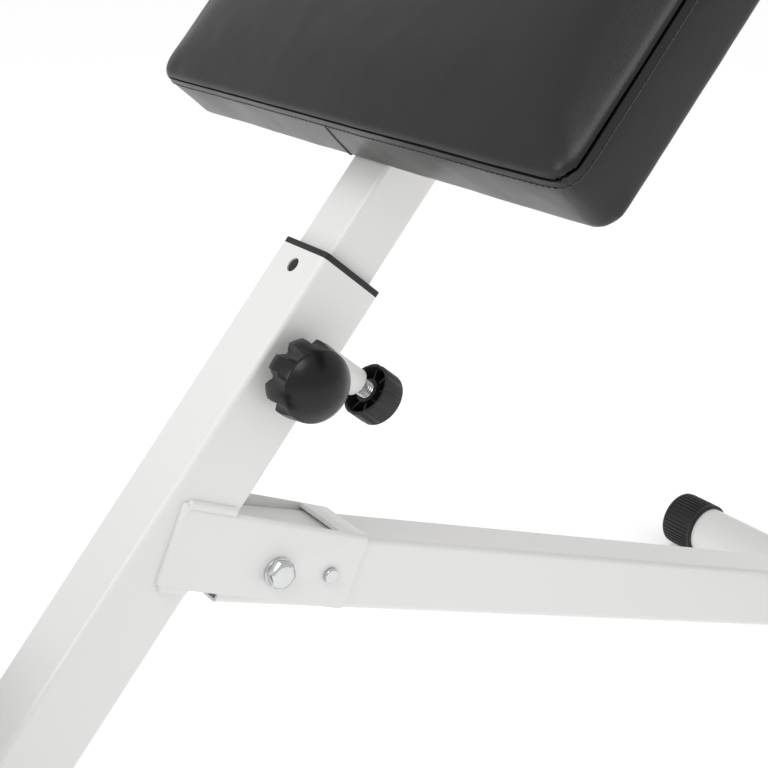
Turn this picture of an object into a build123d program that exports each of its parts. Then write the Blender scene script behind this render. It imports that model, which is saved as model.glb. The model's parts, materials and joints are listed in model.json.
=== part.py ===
"""Folding sit-up bench with a sliding hip pad, in millimetres.

The bench stands on two round cross feet. A square post leans up from the rear foot and carries the pad on a
telescoping inner tube. A front leg is hinged under the post in a welded U-bracket and folds down flat along it.
X runs from the rear foot to the front foot, Y across the bench and Z up. The origin is on the floor, in the middle
of the bench's length and width.

Post frame: t along the post from the rear foot's axis, y across, u up from the post's axis.
Bracket and leg frames: x along each from the pivot bolt, y across, v up.
"""
from build123d import *
import os
from math import cos, hypot, radians, sin

# ---- Stance ----
post_angle = 49.6          # the post's rise from the floor
leg_slope = 20.2           # the front leg's fall towards the floor
foot_drop = 9.2            # front foot's axis below the leg's axis
pivot_t = 384.0            # pivot bolt, along the post
pivot_clear = 2.541        # the folding leg's back corner to the post's underside

# ---- Square tubes ----
tube_size = 50.0
tube_wall = 2.0
tube_corner = 4.0
post_length = 560.0
inner_size = 38.0
inner_wall = 2.0
inner_corner = 3.0
guide_clear = 4.0          # inner tube's guide below the clamp screw, with the pad fully up
inner_margin = 12.0        # inner tube short of the pad's upper edge

# ---- Cross feet ----
foot_radius = 25.0
foot_wall = 2.0
foot_width = 450.0         # over the caps
cap_wall = 3.3
cap_length = 40.0
cap_end = 3.0
cap_flat = 0.6             # ground off the caps where they rest
weld_gap = 0.2             # between a coped tube's end and the round tube

# ---- Post collar and its snap ----
collar_flange = 4.0
collar_depth = 34.0
collar_fit = 0.1           # collar to the post's bore
slide_fit = 0.3            # inner tube to the collar
snap_radius = 4.75
snap_back = 11.5           # snap below the post's top end
snap_fit = 0.25

# ---- Foot plate, mats and ankle rollers ----
plate_t = 60.0
plate_thick = 3.0
plate_width = 330.0
plate_low = -20.0
plate_high = 105.0
plate_corner = 18.0
plate_notch_gap = 0.5
rib_thick = 4.0
rib_y = 105.0
mat_thick = 3.0
mat_edge = 8.0
mat_inner = 34.0
roller_t = 185.0
roller_u = 150.0
roller_bar_radius = 12.5
roller_bar_wall = 2.0
roller_radius = 48.0
roller_length = 150.0
roller_core_wall = 3.0
roller_play = 1.0          # end play of a roller on the bar
upright_above = 12.0       # upright above the roller bar
plug_thick = 3.0
plug_depth = 12.0
plug_fit = 0.25
running_fit = 0.05         # radial, for every turning joint

# ---- Pivot bracket and its hardware ----
bracket_tilt = 3.7         # bracket steeper than the leg
bracket_back = 77.2
bracket_front = 61.5
bracket_below = 19.6
bracket_gap = 0.5          # plate to tube, each side
bracket_sheet = 3.0
bracket_web = 22.2
bracket_corner = 4.0
stop_gap = 0.2             # web to the leg's top
bead_leg = 4.5
bolt_radius = 5.0
bolt_across_flats = 17.0
bolt_head = 6.4
bolt_tail = 3.0
nut_height = 9.5
washer_radius = 10.0
washer_thick = 2.0
bush_radius = 8.0
leg_back = 36.4            # leg behind the pivot bolt
fastener_gap = 0.05

# ---- Lock pins of the unfolded leg ----
lock_x = 41.0
lock_radius = 5.0
lock_proud = 3.2
lock_edge = 1.2

# ---- Screws that hold the inner tube ----
thread_radius = 6.0
clamp_back = 67.3          # clamp screw below the post's top end
clamp_tip_gap = 0.1
weld_nut_height = 8.0
nut_wall = 3.5             # round weld nut and sleeve, outside their threads
clamp_knob_radius = 25.0
clamp_knob_low = 36.0      # the knob's rim plane from the post's axis
clamp_knob_centre = 41.0
clamp_knob_dome = 27.0
clamp_flutes = 8
flute_turn = 25.5          # first flute, from the post's direction towards its upper side
flute_radius = 5.5
flute_depth = 17.0
knob_insert = 14.0
lock_back = 48.0           # lock screw below the post's top end
sleeve_end = 65.0
lock_tip = 20.5
lock_knob_radius = 18.75
lock_knob_low = 74.5
lock_knob_height = 18.5
lock_knob_wall = 2.5
lock_knob_hub = 8.5
lock_knob_top = 5.0
hole_pitch = 25.0
holes_above = 2
holes_below = 3
hole_clear = 0.6           # a lock hole round the lock screw's tip

# ---- Pad ----
pad_gap = 62.0             # pad's lower edge above the collar
pad_length = 290.0
pad_width = 443.0
pad_height = 52.0
pad_plan_corner = 14.0
pad_edge_round = 12.0
board_inset = 9.0
board_thick = 12.0
board_fit = 0.3
mount_thick = 2.5
mount_width = 40.0
mount_span = 260.0
mount_inset = 55.0         # each mount plate's middle from the pad's edge
pad_screw_y = 105.0
pad_screw_radius = 4.0
pad_screw_head = 6.5
pad_screw_head_height = 4.0
tee_radius = 5.2
tee_flange = 10.0
tee_flange_thick = 1.5

# ---- Values that follow ----
half_tube = tube_size / 2
half_inner = inner_size / 2
tube_bore = tube_size - 2 * tube_wall
pivot_drop = half_tube + hypot(leg_back, half_tube) + pivot_clear
snap_t = post_length - snap_back
clamp_t = post_length - clamp_back
lock_screw_t = post_length - lock_back
screw_wall = thread_radius + nut_wall
pad_low_t = post_length + collar_flange + pad_gap
cap_radius = foot_radius + cap_wall
foot_height = cap_radius - cap_flat
pivot_rise = pivot_t * sin(radians(post_angle)) - pivot_drop * cos(radians(post_angle))
pivot_run = pivot_t * cos(radians(post_angle)) + pivot_drop * sin(radians(post_angle))
leg_reach = (pivot_rise - foot_drop * cos(radians(leg_slope))) / sin(radians(leg_slope))
front_run = pivot_run + leg_reach * cos(radians(leg_slope)) - foot_drop * sin(radians(leg_slope))
roller_run = roller_t * cos(radians(post_angle)) - roller_u * sin(radians(post_angle))
back_edge = min(roller_run - roller_radius, -cap_radius)
rear_x = -(back_edge + front_run + cap_radius) / 2
post_frame = Location(Plane(
    origin=(rear_x, 0, foot_height),
    x_dir=(cos(radians(post_angle)), 0, sin(radians(post_angle))),
    z_dir=(-sin(radians(post_angle)), 0, cos(radians(post_angle)))))


def frame_down(slope):
    """Frame at the pivot bolt with x falling at a slope, y across and v up."""
    return Location(Plane(
        origin=(rear_x + pivot_run, 0, foot_height + pivot_rise),
        x_dir=(cos(radians(slope)), 0, -sin(radians(slope))),
        z_dir=(sin(radians(slope)), 0, cos(radians(slope)))))


leg_frame = frame_down(leg_slope)
bracket_frame = frame_down(leg_slope + bracket_tilt)


# ---- Shapes used throughout ----
def block(low, high):
    """Box between two corners."""
    middle = [(a + b) / 2 for a, b in zip(low, high)]
    size = [b - a for a, b in zip(low, high)]
    return Pos(*middle) * Box(*size)


def rod(axis, radius, low, high):
    """Cylinder about the x, y or z axis between two stations."""
    turn = {"x": Rot(0, 90, 0), "y": Rot(90, 0, 0), "z": Rot(0, 0, 0)}[axis]
    middle = (low + high) / 2
    shift = {"x": Pos(middle, 0, 0), "y": Pos(0, middle, 0), "z": Pos(0, 0, middle)}[axis]
    return shift * turn * Cylinder(radius, high - low)


def square_bar(size, corner, low, high):
    """Square bar along x with rounded long edges."""
    across = Plane(origin=(low, 0, 0), x_dir=(0, 1, 0), z_dir=(1, 0, 0))
    return extrude(across * RectangleRounded(size, size, corner), amount=high - low)


def square_tube(size, wall, corner, low, high):
    """Square tube along x."""
    return square_bar(size, corner, low, high) - square_bar(size - 2 * wall, corner - wall, low - 1, high + 1)


def hexagon(across_flats, low, high):
    """Hexagonal prism about y between two stations."""
    section = Plane(origin=(0, low, 0), x_dir=(1, 0, 0), z_dir=(0, 1, 0)) * RegularPolygon(
        across_flats / 2, 6, major_radius=False)
    return extrude(section, amount=high - low)


def save(shape, name, frame=None):
    """Write one node, placed from its own frame."""
    placed = frame * shape if frame else shape
    export_step(placed, f"parts/{name}.step")


os.makedirs("parts", exist_ok=True)

# ---- Cross feet: a round tube with a cap on each end ----
tube_end = foot_width / 2 - cap_end
foot_bar = rod("y", foot_radius, -tube_end, tube_end)
foot_tube = foot_bar - rod("y", foot_radius - foot_wall, -tube_end - 1, tube_end + 1)
cope = rod("y", foot_radius + weld_gap, -tube_end, tube_end)


def foot_cap(side):
    """Cap on one end of a foot, with a flat underneath in the floor's direction."""
    outer = rod("y", cap_radius, foot_width / 2 - cap_length, foot_width / 2)
    outer = fillet(outer.edges().filter_by(GeomType.CIRCLE).sort_by(Axis.Y)[-1], 2.5)
    bore = rod("y", foot_radius, foot_width / 2 - cap_length - 1, foot_width / 2 - cap_end)
    ground = block((-cap_radius, 0, -cap_radius - 1), (cap_radius, foot_width, -foot_height))
    cap = outer - bore - ground
    return cap if side > 0 else mirror(cap, Plane.XZ)


feet = {
    "rear": Pos(rear_x, 0, foot_height),
    "front": Pos(rear_x + front_run, 0, foot_height),
}
for foot, place in feet.items():
    save(foot_tube, f"{foot}_foot_tube", place)
    save(foot_cap(-1), f"{foot}_foot_cap_near", place)
    save(foot_cap(1), f"{foot}_foot_cap_far", place)

# ---- Post: coped onto the rear foot, with holes for the snap and the two screws ----
post_start = foot_radius / 2
post = square_tube(tube_size, tube_wall, tube_corner, post_start, post_length) - cope
screw_hole = thread_radius + snap_fit
post -= Pos(snap_t, 0, 0) * rod("z", snap_radius, 0, tube_size)
post -= Pos(clamp_t, 0, 0) * rod("y", screw_hole, -tube_size, 0)
post -= Pos(lock_screw_t, 0, 0) * rod("z", screw_hole, -tube_size, 0)
save(post, "post_tube", post_frame)

collar = square_bar(tube_size, tube_corner, post_length, post_length + collar_flange)
collar = fillet(collar.edges().filter_by(Axis.X, reverse=True).sort_by(Axis.X)[-8:], 0.6)
collar += square_bar(
    tube_bore - 2 * collar_fit, tube_corner - tube_wall, post_length - collar_depth, post_length)
collar += Pos(snap_t, 0, 0) * rod("z", snap_radius - snap_fit, half_inner + 1, half_tube - 0.8)
collar -= square_bar(
    inner_size + 2 * slide_fit, inner_corner + slide_fit,
    post_length - collar_depth - 1, post_length + collar_flange + 1)
save(collar, "post_collar", post_frame)

# ---- Foot plate on two ribs, with a mat for each foot ----
plate_notch = half_tube + plate_notch_gap
plate_outline = Plane(
    origin=(plate_t, 0, (plate_low + plate_high) / 2), x_dir=(0, 1, 0), z_dir=(1, 0, 0)) * RectangleRounded(
    plate_width, plate_high - plate_low, plate_corner)
foot_plate = extrude(plate_outline, amount=plate_thick)
foot_plate -= block(
    (plate_t - 1, -plate_notch, plate_low - 1), (plate_t + plate_thick + 1, plate_notch, plate_notch))
save(foot_plate, "foot_plate", post_frame)

rib_outline = Plane(origin=(0, -rib_thick / 2, 0), x_dir=(1, 0, 0), z_dir=(0, 1, 0)) * make_face(Polyline(
    (0, 0), (plate_t, -plate_low - 6), (plate_t, -plate_high + plate_corner), (foot_radius, -foot_radius),
    close=True))
rib = extrude(rib_outline, amount=rib_thick) - cope
mat_low = plate_low + mat_edge
mat_high = plate_high - mat_edge
mat_outer = plate_width / 2 - mat_edge
mat_face = Plane(
    origin=(plate_t + plate_thick, (mat_inner + mat_outer) / 2, (mat_low + mat_high) / 2),
    x_dir=(0, 1, 0), z_dir=(1, 0, 0)) * RectangleRounded(
    mat_outer - mat_inner, mat_high - mat_low, plate_corner - mat_edge)
mat = extrude(mat_face, amount=mat_thick)
for name, side in (("near", -1), ("far", 1)):
    save(Pos(0, side * rib_y, 0) * rib, f"foot_plate_rib_{name}", post_frame)
    save(mat if side > 0 else mirror(mat, Plane.XZ), f"foot_mat_{name}", post_frame)

# ---- Ankle rollers: an upright, a bar through it and a foam roller on each side ----
upright_top = roller_u + roller_bar_radius + upright_above
stand_up = Rot(0, -90, 0)
upright = stand_up * square_tube(inner_size, inner_wall, inner_corner, half_tube, upright_top)
upright -= Pos(0, 0, roller_u) * rod("y", roller_bar_radius + fastener_gap, -inner_size, inner_size)
save(Pos(roller_t, 0, 0) * upright, "roller_upright", post_frame)

plug_size = inner_size - 2 * inner_wall - 2 * plug_fit
plug_corner = inner_corner - inner_wall
upright_cap = square_bar(inner_size, inner_corner, upright_top, upright_top + plug_thick)
upright_cap += square_bar(plug_size, plug_corner, upright_top - plug_depth / 2, upright_top)
save(Pos(roller_t, 0, 0) * stand_up * upright_cap, "roller_upright_cap", post_frame)

roller_start = half_inner + roller_play
roller_end = roller_start + roller_length
bar_half = roller_end + roller_play
roller_bar = rod("y", roller_bar_radius, -bar_half, bar_half)
roller_bar -= rod("y", roller_bar_radius - roller_bar_wall, -bar_half - 1, bar_half + 1)
roller_place = Pos(roller_t, 0, roller_u)
save(roller_place * roller_bar, "roller_bar", post_frame)

core_bore = roller_bar_radius + running_fit
core_radius = core_bore + roller_core_wall
core = rod("y", core_radius, roller_start, roller_end) - rod("y", core_bore, roller_start - 1, roller_end + 1)
foam = rod("y", roller_radius, roller_start, roller_end)
foam -= rod("y", core_radius, roller_start - 1, roller_end + 1)
foam = fillet(foam.edges().filter_by(GeomType.CIRCLE).filter_by(lambda e: e.radius > core_radius + 1), 6)
bar_plug = rod("y", roller_bar_radius - roller_bar_wall - plug_fit, bar_half - plug_depth, bar_half)
bar_cap = rod("y", core_radius + 2, bar_half, bar_half + plug_thick + 1)
bar_cap = fillet(bar_cap.edges().filter_by(GeomType.CIRCLE).sort_by(Axis.Y)[-1], 2.5) + bar_plug
for name, side in (("near", -1), ("far", 1)):
    for shape, node in ((core, "roller_core"), (foam, "roller_foam"), (bar_cap, "roller_bar_cap")):
        sided = shape if side > 0 else mirror(shape, Plane.XZ)
        save(roller_place * sided, f"{node}_{name}", post_frame)

# ---- Pivot bracket: two plates joined by a short web that the leg's top bears on ----
plate_in = half_tube + bracket_gap
plate_out = plate_in + bracket_sheet
tilt = radians(bracket_tilt)
web_under = (half_tube + stop_gap + bracket_front * sin(tilt)) / cos(tilt)
bracket_top = web_under + bracket_sheet
web_start = bracket_front - bracket_web
bracket = block((-bracket_back, -plate_out, -bracket_below), (bracket_front, plate_out, bracket_top))
bracket = fillet(bracket.edges().filter_by(Axis.X).sort_by(Axis.Z)[-2:], bracket_corner)
bracket = fillet(bracket.edges().filter_by(Axis.Y).group_by(Axis.X)[-1].sort_by(Axis.Z)[0], bracket_corner)
bracket -= block((-bracket_back - 1, -plate_in, -bracket_below - 1), (bracket_front + 1, plate_in, web_under))
bracket -= block((-bracket_back - 1, -plate_in, web_under - 1), (web_start, plate_in, bracket_top + 1))
lock_in_bracket = (lock_x * cos(tilt), lock_x * sin(tilt))
bracket -= rod("y", bolt_radius + fastener_gap, -tube_size, tube_size)
bracket -= Pos(lock_in_bracket[0], 0, lock_in_bracket[1]) * rod(
    "y", lock_radius + running_fit, -tube_size, tube_size)
save(bracket, "pivot_bracket", bracket_frame)

# Fillet welds run round the plates where they lap the post's sides: along the top, the back and the bottom.
lean = radians(post_angle + leg_slope + bracket_tilt)


def underside_at(v):
    """Where the post's underside crosses the bracket, for a height v."""
    return -(pivot_drop - half_tube - v * cos(lean)) / sin(lean)


def bead(start, end, outward):
    """Triangular bead beside a plate, along a line in the bracket's x-v plane."""
    run = Vector(end[0] - start[0], 0, end[1] - start[1])
    section = Plane(origin=(start[0], half_tube, start[1]), x_dir=(outward[0], 0, outward[1]),
                    z_dir=tuple(run.normalized()))
    rise = plate_out - half_tube
    if section.y_dir.Y < 0:
        rise = -rise
    return extrude(section * make_face(Polyline((0, 0), (bead_leg, 0), (0, rise), close=True)),
                   amount=run.length)


top_end = underside_at(bracket_top + bead_leg)
low_end = underside_at(-bracket_below - bead_leg)
top_bead = bead((-bracket_back, bracket_top), (top_end, bracket_top), (0, 1))
back_bead = bead((-bracket_back, -bracket_below), (-bracket_back, bracket_top), (-1, 0))
low_bead = bead((-bracket_back, -bracket_below), (low_end, -bracket_below), (0, -1))
welds = [top_bead, back_bead, low_bead]
welds += [mirror(weld, Plane.XZ) for weld in welds]
save(Compound(children=welds), "bracket_welds", bracket_frame)

# ---- Pivot bolt, its nut and washers, and the bush welded through the leg ----
head_side = -plate_out - washer_thick
nut_side = plate_out + washer_thick
bolt = rod("y", bolt_radius, head_side, nut_side + nut_height + bolt_tail)
head = hexagon(bolt_across_flats, head_side - bolt_head, head_side)
head &= Pos(0, head_side, 0) * Sphere(hypot(bolt_across_flats / 2 + 0.6, bolt_head))
save(bolt + head, "pivot_bolt", leg_frame)
nut = hexagon(bolt_across_flats, nut_side, nut_side + nut_height)
nut -= rod("y", bolt_radius + fastener_gap, nut_side - 1, nut_side + nut_height + 1)
save(nut, "pivot_nut", leg_frame)
washer = rod("y", washer_radius, plate_out, nut_side) - rod(
    "y", bolt_radius + fastener_gap, plate_out - 1, nut_side + 1)
save(Compound(children=[washer, mirror(washer, Plane.XZ)]), "pivot_washers", leg_frame)
bush = rod("y", bush_radius, -half_tube, half_tube)
bush -= rod("y", bolt_radius + running_fit, -tube_size, tube_size)
save(bush, "pivot_bush", leg_frame)

# ---- Front leg: a square tube coped onto the front foot ----
foot_in_leg = Pos(leg_reach, 0, -foot_drop)
leg = square_tube(tube_size, tube_wall, tube_corner, -leg_back, leg_reach) - foot_in_leg * cope
leg -= rod("y", bush_radius + fastener_gap, -tube_size, tube_size)
leg -= Pos(lock_x, 0, 0) * rod("y", lock_radius + snap_fit, -tube_size, tube_size)
save(leg, "leg_tube", leg_frame)
end_size = tube_bore - 2 * fastener_gap
end_plate = square_bar(end_size, tube_corner - tube_wall, leg_reach - tube_wall, leg_reach)
end_plate &= block((0, -tube_size, -foot_drop), (leg_reach + 1, tube_size, tube_size))
save(end_plate - foot_in_leg * cope, "leg_end_plate", leg_frame)

# ---- Lock pins: pressed in from each side, their tips enter holes in the leg ----
lock_pin = rod("y", lock_radius, plate_in, plate_out + lock_proud)
lock_pin = chamfer(lock_pin.edges().filter_by(GeomType.CIRCLE).sort_by(Axis.Y)[0], lock_edge / 2)
lock_pin = fillet(lock_pin.edges().filter_by(GeomType.CIRCLE).sort_by(Axis.Y)[-1], lock_edge)
lock_pin = Pos(lock_x, 0, 0) * lock_pin
save(mirror(lock_pin, Plane.XZ), "leg_lock_pin_near", leg_frame)
save(lock_pin, "leg_lock_pin_far", leg_frame)

# ---- Inner tube, with a row of holes underneath and a plug in each end ----
pad_up = holes_below * hole_pitch
inner_start = clamp_t - thread_radius - guide_clear - pad_up
pad_high_t = pad_low_t + pad_length
inner_end = pad_high_t - inner_margin
inner = square_tube(inner_size, inner_wall, inner_corner, inner_start, inner_end)
for step in range(-holes_below, holes_above + 1):
    inner -= Pos(lock_screw_t + step * hole_pitch, 0, 0) * rod(
        "z", thread_radius + hole_clear, -inner_size, 0)
save(inner, "inner_tube", post_frame)
guide_size = tube_bore - 2 * slide_fit
guide = square_bar(guide_size, tube_corner - tube_wall, inner_start - plug_thick, inner_start)
guide += square_bar(plug_size, plug_corner, inner_start, inner_start + plug_depth)
save(guide, "inner_tube_guide", post_frame)
end_plug = square_bar(inner_size, inner_corner, inner_end, inner_end + plug_thick)
end_plug += square_bar(plug_size, plug_corner, inner_end - plug_depth, inner_end)
save(end_plug, "inner_tube_plug", post_frame)

# ---- Clamp screw on the near side: its tip presses on the inner tube ----
nut_out = half_tube + weld_nut_height
clamp_nut = rod("y", screw_wall, -nut_out, -half_tube) - rod(
    "y", thread_radius + running_fit, -nut_out - 1, -half_tube + 1)
save(Pos(clamp_t, 0, 0) * clamp_nut, "clamp_nut", post_frame)
insert_end = clamp_knob_low + knob_insert
clamp_rim = max(clamp_knob_low, nut_out)
stud = rod("y", thread_radius, -insert_end, -half_inner - clamp_tip_gap)
save(Pos(clamp_t, 0, 0) * stud, "clamp_stud", post_frame)
knob = Pos(0, -clamp_knob_centre, 0) * Sphere(clamp_knob_dome)
knob &= rod("y", clamp_knob_radius, -clamp_knob_centre - clamp_knob_dome, -clamp_rim)
knob -= rod("y", thread_radius + fastener_gap, -insert_end, 0)
flute = Pos(clamp_knob_dome, 0, 0) * rod("y", flute_radius, -clamp_rim - flute_depth, -clamp_rim + 1)
for number in range(clamp_flutes):
    knob -= Rot(0, -flute_turn - number * 360 / clamp_flutes, 0) * flute
save(Pos(clamp_t, 0, 0) * knob, "clamp_knob", post_frame)

# ---- Lock screw underneath: shown backed out, it screws in until its tip fills a hole ----
sleeve = rod("z", screw_wall, -sleeve_end, -half_tube) - rod(
    "z", thread_radius + running_fit, -sleeve_end - 1, -half_tube + 1)
save(Pos(lock_screw_t, 0, 0) * sleeve, "lock_sleeve", post_frame)
knob_floor = lock_knob_low + lock_knob_height - lock_knob_top
lock_stud = rod("z", thread_radius, -knob_floor - 2, -lock_tip)
lock_stud = chamfer(lock_stud.edges().filter_by(GeomType.CIRCLE).sort_by(Axis.Z)[-1], 1.2)
save(Pos(lock_screw_t, 0, 0) * lock_stud, "lock_stud", post_frame)
cup_end = lock_knob_low + lock_knob_height
cup = rod("z", lock_knob_radius, -cup_end, -lock_knob_low)
cup = fillet(cup.edges().filter_by(GeomType.CIRCLE).sort_by(Axis.Z)[0], 4)
cup -= rod("z", lock_knob_radius - lock_knob_wall, -knob_floor, -lock_knob_low + 1)
cup += rod("z", lock_knob_hub, -knob_floor - 1, -lock_knob_low - 1)
cup -= rod("z", thread_radius + fastener_gap, -knob_floor - 2, -lock_knob_low + 1)
save(Pos(lock_screw_t, 0, 0) * cup, "lock_knob", post_frame)

# ---- Pad: mount plates on the inner tube, a board, tee nuts and screws, and the cushion over them ----
board_low = half_inner + mount_thick
board_top = board_low + board_thick
pad_mid = (pad_low_t + pad_high_t) / 2
mounts = (pad_low_t + mount_inset, pad_high_t - mount_inset)
screw_spots = [(t, y) for t in mounts for y in (-pad_screw_y, pad_screw_y)]
for name, t in zip(("lower", "upper"), mounts):
    plate = Pos(t, 0, 0) * block(
        (-mount_width / 2, -mount_span / 2, half_inner), (mount_width / 2, mount_span / 2, board_low))
    for y in (-pad_screw_y, pad_screw_y):
        plate -= Pos(t, y, 0) * rod("z", pad_screw_radius + fastener_gap, 0, board_top)
    save(plate, f"pad_mount_{name}", post_frame)


def pad_slab(inset, low, high):
    """Slab of the pad's outline, drawn in by an inset."""
    outline = RectangleRounded(pad_length - 2 * inset, pad_width - 2 * inset, pad_plan_corner - inset)
    return extrude(Pos(pad_mid, 0, low) * outline, amount=high - low)


board = pad_slab(board_inset, board_low, board_top)
tee_nuts = []
pad_screws = []
for t, y in screw_spots:
    board -= Pos(t, y, 0) * rod("z", tee_radius + fastener_gap, 0, board_top + 1)
    barrel = rod("z", tee_radius, board_low + 1, board_top) + rod(
        "z", tee_flange, board_top, board_top + tee_flange_thick)
    tee_nuts.append(Pos(t, y, 0) * (barrel - rod("z", pad_screw_radius + fastener_gap, 0, board_top * 2)))
    screw = rod("z", pad_screw_radius, half_inner, board_top) + rod(
        "z", pad_screw_head, half_inner - pad_screw_head_height, half_inner)
    pad_screws.append(Pos(t, y, 0) * screw)
save(board, "pad_board", post_frame)
save(Compound(children=tee_nuts), "pad_tee_nuts", post_frame)
save(Compound(children=pad_screws), "pad_screws", post_frame)

cushion = pad_slab(0, board_low, board_low + pad_height)
cushion = fillet(cushion.edges().group_by(Axis.Z)[-1], pad_edge_round)
cushion -= pad_slab(board_inset - board_fit, board_low - 1, board_top)
tee_relief = rod("z", tee_flange + board_fit, board_top - 1, board_top + tee_flange_thick + board_fit)
for t, y in screw_spots:
    cushion -= Pos(t, y, 0) * tee_relief
save(cushion, "pad_cushion", post_frame)
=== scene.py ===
"""Folding sit-up bench, finished for the studio, in metres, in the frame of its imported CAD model.

The sections follow the bench as it is put together: the leaning post and its collar, the cross feet, the
foot plate, the ankle rollers, the pivot bracket, the front leg, the sliding tube with its two screws, and the
hip pad. The last section is the studio. Turned profiles are in millimetres, and so are sizes with up to two
decimals. Sizes with three or more decimals, every place, and the whole studio are in metres.
"""
import bmesh
import bpy
import json
from math import asin, cos, pi, radians, sin, tau
from mathutils import Matrix, Vector


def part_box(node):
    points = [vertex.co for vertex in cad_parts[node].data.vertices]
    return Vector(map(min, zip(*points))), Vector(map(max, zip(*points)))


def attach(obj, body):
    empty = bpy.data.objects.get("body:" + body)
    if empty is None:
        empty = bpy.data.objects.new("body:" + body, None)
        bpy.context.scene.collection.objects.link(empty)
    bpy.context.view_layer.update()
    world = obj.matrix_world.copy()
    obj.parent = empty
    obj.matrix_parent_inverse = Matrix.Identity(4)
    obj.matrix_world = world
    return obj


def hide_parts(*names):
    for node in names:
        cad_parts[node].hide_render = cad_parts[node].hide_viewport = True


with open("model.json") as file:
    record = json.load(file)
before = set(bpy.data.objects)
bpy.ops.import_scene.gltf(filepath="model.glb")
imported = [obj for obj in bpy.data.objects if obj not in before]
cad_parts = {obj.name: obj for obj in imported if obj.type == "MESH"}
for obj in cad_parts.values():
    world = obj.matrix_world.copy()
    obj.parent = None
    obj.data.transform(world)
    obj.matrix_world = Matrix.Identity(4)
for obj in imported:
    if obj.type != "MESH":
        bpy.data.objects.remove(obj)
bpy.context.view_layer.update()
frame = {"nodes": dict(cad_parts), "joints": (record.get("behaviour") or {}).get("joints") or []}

# ---- Camera ----
# A product camera beside the bench's knobs, a little above them, with a short tele lens. It is set out from
# the clamp screw along the post's own directions, in metres.
joints = {joint["name"]: joint for joint in frame["joints"]}
along = Vector(joints["pad_height"]["axis"]).normalized()
above = Vector(joints["lock_turn"]["axis"]).normalized()
across = Vector((0, 1, 0))
clamp_at = Vector(joints["clamp_turn"]["pos_m"])
camera_turn = -34.1
camera_rise = 20.87
camera_lens = 63.13
camera_at = clamp_at - 0.0314 * along - 0.6862 * across + 0.4729 * above


def away(turn, rise):
    """Way from the bench to a camera or a lamp, at a turn about the bench and a rise, both in degrees."""
    turn, rise = radians(turn), radians(rise)
    return Vector((sin(turn) * cos(rise), -cos(turn) * cos(rise), sin(rise)))


bpy.ops.object.camera_add(location=camera_at)
camera = bpy.context.object
camera.name = "camera"
camera.rotation_mode = "QUATERNION"
camera.rotation_quaternion = away(camera_turn, camera_rise).to_track_quat("Z", "Y")
camera.data.lens = camera_lens
camera.data.sensor_width = 36
bpy.context.scene.camera = camera

# ---- Post: square steel tube, coped onto the rear foot ----
# Mild steel tube, 50 mm square and 2 mm thick, cut, drilled and welded, then powder coated gloss white. The
# CAD shape is right, so it keeps its mesh and gets its finish here.


def linear(hex_colour):
    """A colour picked as sRGB hex, turned to the linear values that the shaders work in."""
    parts = [int(hex_colour[i:i + 2], 16) / 255 for i in (0, 2, 4)]
    curved = [part / 12.92 if part <= 0.04045 else ((part + 0.055) / 1.055) ** 2.4 for part in parts]
    return (*curved, 1)


def add_node(material, kind, settings=None, links=None):
    """Adds a node, sets its inputs or properties by name, and links other nodes' outputs into it."""
    made = material.node_tree.nodes.new("ShaderNode" + kind)
    for name, value in (settings or {}).items():
        if name in made.inputs:
            made.inputs[name].default_value = value
        else:
            setattr(made, name, value)
    for name, source in (links or {}).items():
        material.node_tree.links.new(source, made.inputs[name])
    return made


def new_material(name, colour, roughness, metallic=0.0, ior=1.5, **sockets):
    """A material whose shader starts from a real finish's typical values."""
    material = bpy.data.materials.new(name)
    material.use_nodes = True
    shader = material.node_tree.nodes["Principled BSDF"]
    shader.inputs["Base Color"].default_value = linear(colour)
    shader.inputs["Roughness"].default_value = roughness
    shader.inputs["Metallic"].default_value = metallic
    shader.inputs["IOR"].default_value = ior
    for name, value in sockets.items():
        shader.inputs[name.replace("_", " ").title()].default_value = value
    place = add_node(material, "TexCoord").outputs["Object"]
    return material, shader, place


def spread(material, place, wave_mm, low, high, socket, detail=2.0):
    """Varies a shader socket between two values, in soft patches a real size across."""
    patches = add_node(material, "TexNoise", {"Scale": 1000 / wave_mm, "Detail": detail}, {"Vector": place})
    level = add_node(material, "MapRange", {"From Min": 0.2, "From Max": 0.8, "To Min": low, "To Max": high},
                     {"Value": patches.outputs["Fac"]})
    material.node_tree.links.new(level.outputs["Result"], socket)
    return patches


def relief(material, shader, height, depth_mm, under=None):
    """Raises a pattern on a material's surface by a real depth, over any earlier relief."""
    bump = add_node(material, "Bump", {"Strength": 1.0, "Distance": depth_mm / 1000}, {"Height": height})
    if under:
        material.node_tree.links.new(under.outputs["Normal"], bump.inputs["Normal"])
    material.node_tree.links.new(bump.outputs["Normal"], shader.inputs["Normal"])
    return bump


def paint(material, *nodes):
    """Puts a material on CAD nodes that keep their own mesh."""
    for name in nodes:
        slots = frame["nodes"][name].data.materials
        slots.clear()
        slots.append(material)


# Polyester powder coat, baked on blasted steel: an even white with a soft gloss and shallow orange peel.
powder_coat, shader, place = new_material("powder_coat_baked_gloss", "E7E7E5", 0.34, coat_weight=0.25,
                                          coat_roughness=0.2)
spread(powder_coat, place, 60, 0.32, 0.36, shader.inputs["Roughness"])
orange_peel = add_node(powder_coat, "TexNoise", {"Scale": 1000 / 3.2, "Detail": 1.0}, {"Vector": place})
relief(powder_coat, shader, orange_peel.outputs["Fac"], 0.03)
paint(powder_coat, "post_tube")


def reach(node, direction, start=Vector()):
    """Lowest and highest station of a CAD node along a direction, from a starting point."""
    stations = [(vertex.co - start).dot(direction) for vertex in frame["nodes"][node].data.vertices]
    return min(stations), max(stations)


def seat(origin, x_way, z_way):
    """Drawing frame at a point of the bench, with its x and z along two directions."""
    turned = Matrix((x_way, z_way.cross(x_way), z_way)).transposed().to_4x4()
    return Matrix.Translation(origin) @ turned


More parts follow.
